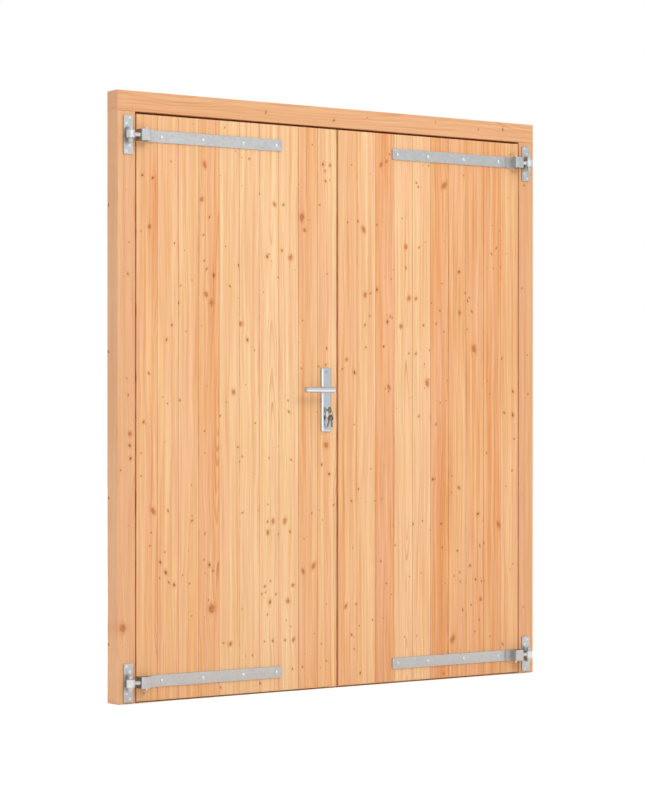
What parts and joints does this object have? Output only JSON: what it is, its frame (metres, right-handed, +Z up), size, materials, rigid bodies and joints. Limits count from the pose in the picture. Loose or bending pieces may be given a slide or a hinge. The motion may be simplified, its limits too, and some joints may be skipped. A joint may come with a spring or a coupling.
{
  "type": "barn door",
  "caption": "Pair of boarded timber barn doors in a timber frame, on adjustable galvanised strap hinges, with a lever lock, key and edge bolts.",
  "frame": {"origin": "floor level at the centre of the doorway, in the middle of the leaves' thickness", "axes": "+Z up, +X to the right seen from the front, front faces -Y"},
  "size_m": [1.82, 0.176, 2.09],
  "materials": {
    "frame_wood": "planed softwood, oiled",
    "door_wood": "planed softwood boards, oiled",
    "ledge_wood": "planed softwood, untreated back",
    "galvanised_steel": "hot-dip galvanised",
    "zinc_fasteners": "zinc plated",
    "satin_steel": "satin",
    "lock_steel": "plain bright",
    "brass": "turned",
    "nickel_key": "nickel plated"
  },
  "bodies": {
    "frame": {"left_jamb": "frame_wood", "right_jamb": "frame_wood", "header": "frame_wood", "left_stop": "frame_wood", "right_stop": "frame_wood", "head_stop": "frame_wood", "frame_screws": "zinc_fasteners", "upper_left_pin_plate": "galvanised_steel", "lower_left_pin_plate": "galvanised_steel", "upper_right_pin_plate": "galvanised_steel", "lower_right_pin_plate": "galvanised_steel", "pin_plate_screws": "zinc_fasteners"},
    "left_leaf": {"left_boards": "door_wood", "left_hinge_stile": "ledge_wood", "left_lock_stile": "ledge_wood", "left_top_rail": "ledge_wood", "left_middle_rail": "ledge_wood", "left_bottom_rail": "ledge_wood", "left_upper_brace": "ledge_wood", "left_lower_brace": "ledge_wood", "upper_left_strap": "galvanised_steel", "lower_left_strap": "galvanised_steel", "left_eye_bolts": "galvanised_steel", "left_eye_nuts": "zinc_fasteners", "left_cross_bolts": "zinc_fasteners", "left_strap_bolts": "zinc_fasteners", "lock_case": "lock_steel", "lock_cylinder": "nickel_key", "outside_plate": "satin_steel", "inside_plate": "satin_steel", "plate_bolts": "satin_steel"},
    "right_leaf": {"right_boards": "door_wood", "right_hinge_stile": "ledge_wood", "right_meeting_stile": "ledge_wood", "right_top_rail": "ledge_wood", "right_middle_rail": "ledge_wood", "right_bottom_rail": "ledge_wood", "right_upper_brace": "ledge_wood", "right_lower_brace": "ledge_wood", "upper_right_strap": "galvanised_steel", "lower_right_strap": "galvanised_steel", "right_eye_bolts": "galvanised_steel", "right_eye_nuts": "zinc_fasteners", "right_cross_bolts": "zinc_fasteners", "right_strap_bolts": "zinc_fasteners", "strike_plate": "lock_steel", "upper_bolt_case": "lock_steel", "lower_bolt_case": "lock_steel"},
    "lever_set": {"outside_lever": "satin_steel", "inside_lever": "satin_steel", "lever_spindle": "lock_steel", "lock_follower": "brass"},
    "latch": {"latch_bolt": "lock_steel"},
    "dead_bolt_body": {"dead_bolt": "lock_steel"},
    "key_set": {"cylinder_plug": "nickel_key", "lock_key": "nickel_key", "key_ring": "nickel_key", "spare_keys": "nickel_key"},
    "upper_bolt": {"upper_edge_bolt": "lock_steel"},
    "lower_bolt": {"lower_edge_bolt": "lock_steel"}
  },
  "joints": [
    {"name": "left_leaf_swing", "type": "hinge", "parent": "frame", "child": "left_leaf", "pos_m": [-0.87, -0.0475, 0], "axis": [0, 0, -1], "range_deg": [0, 170]},
    {"name": "right_leaf_swing", "type": "hinge", "parent": "frame", "child": "right_leaf", "pos_m": [0.87, -0.0475, 0], "axis": [0, 0, 1], "range_deg": [0, 170]},
    {"name": "lever_turn", "type": "hinge", "parent": "left_leaf", "child": "lever_set", "pos_m": [-0.053, 0, 1.073], "axis": [0, -1, 0], "range_deg": [0, 45], "stiffness_Nm_per_rad": 1.5, "springref_deg": -45.84},
    {"name": "latch_slide", "type": "slide", "parent": "left_leaf", "child": "latch", "axis": [1, 0, 0], "range_m": [0, 0.011]},
    {"name": "key_turn", "type": "hinge", "parent": "left_leaf", "child": "key_set", "pos_m": [-0.053, 0, 1.001], "axis": [0, 1, 0], "range_deg": [0, 360]},
    {"name": "dead_bolt_slide", "type": "slide", "parent": "left_leaf", "child": "dead_bolt_body", "axis": [1, 0, 0], "range_m": [0, 0.02]},
    {"name": "upper_bolt_slide", "type": "slide", "parent": "right_leaf", "child": "upper_bolt", "axis": [0, 0, 1], "range_m": [0, 0.02]},
    {"name": "lower_bolt_slide", "type": "slide", "parent": "right_leaf", "child": "lower_bolt", "axis": [0, 0, -1], "range_m": [0, 0.02]}
  ],
  "couplings": [
    {"joint": "dead_bolt_slide", "follows": "key_turn", "m_per_rad": 0.003183}
  ]
}
